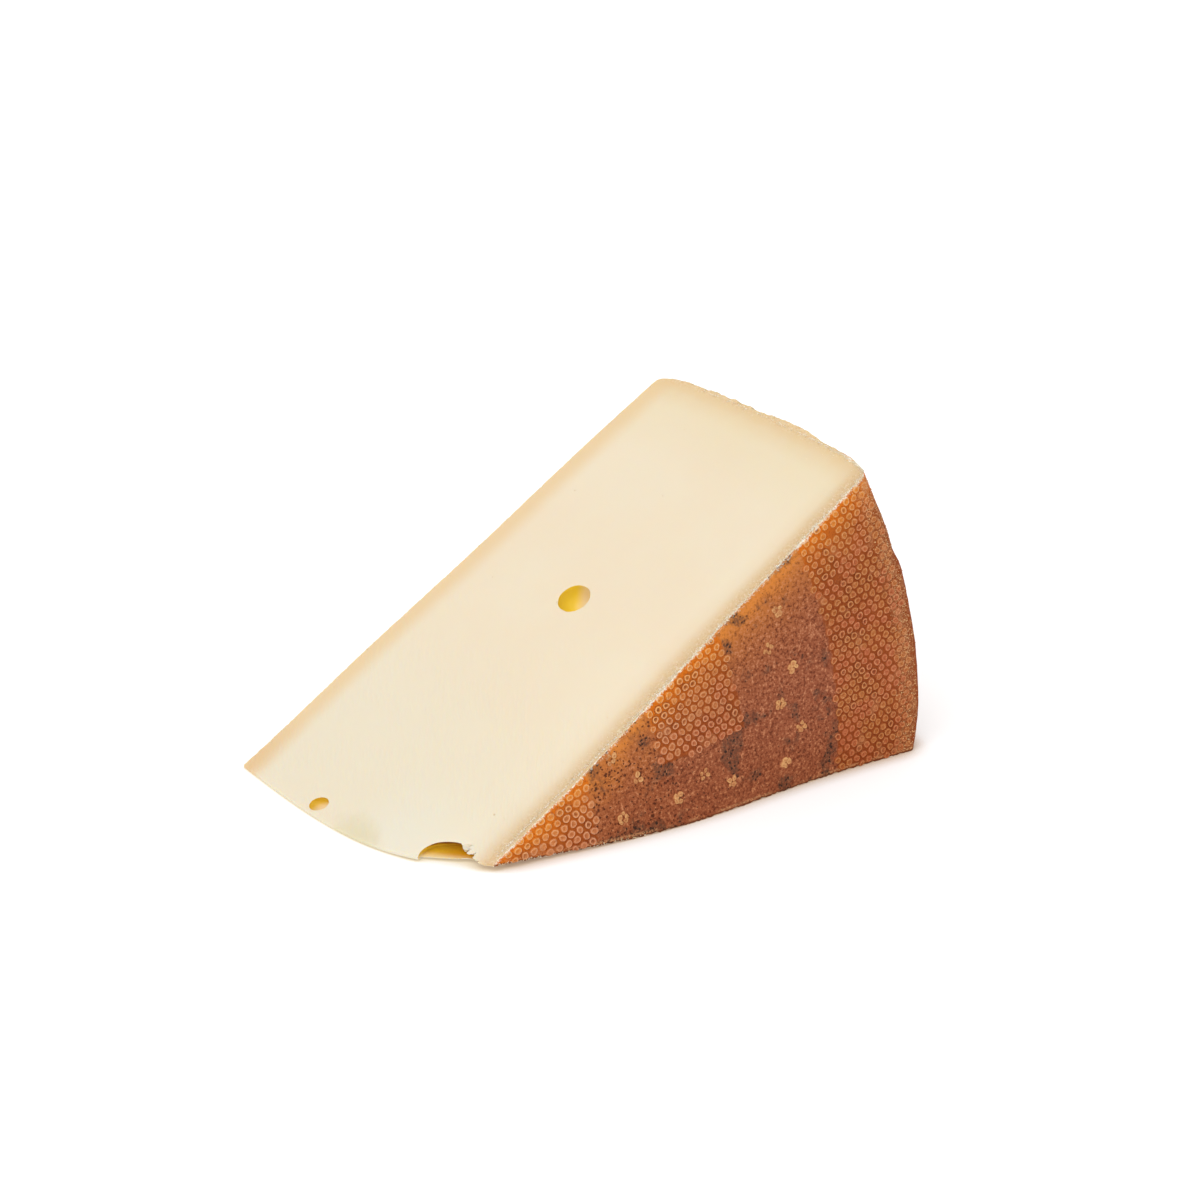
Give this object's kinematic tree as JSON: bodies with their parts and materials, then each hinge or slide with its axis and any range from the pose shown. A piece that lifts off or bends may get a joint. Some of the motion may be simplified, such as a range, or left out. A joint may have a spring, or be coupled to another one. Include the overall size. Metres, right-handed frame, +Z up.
{
  "type": "cheese wedge",
  "caption": "Wedge of hard washed-rind cheese lying on a cut face, with a sloping cream cut, two patterned rind sides, a curved heel and eyes.",
  "frame": {"origin": "middle of the bounding box's underside, on the surface that the wedge lies on", "axes": "+X from the nose to the heel, +Y from the banded rind side to the plain rind side, +Z up"},
  "size_m": [0.164, 0.0944, 0.0907],
  "materials": {
    "cheese_paste": "cream cheese paste, smooth and slightly waxy, golden inside the eyes",
    "cheese_rind": "reddish-brown washed rind with a raised net of pale ring marks, dry and matt"
  },
  "bodies": {
    "root": {"cheese_wedge": "cheese_paste"}
  },
  "joints": []
}
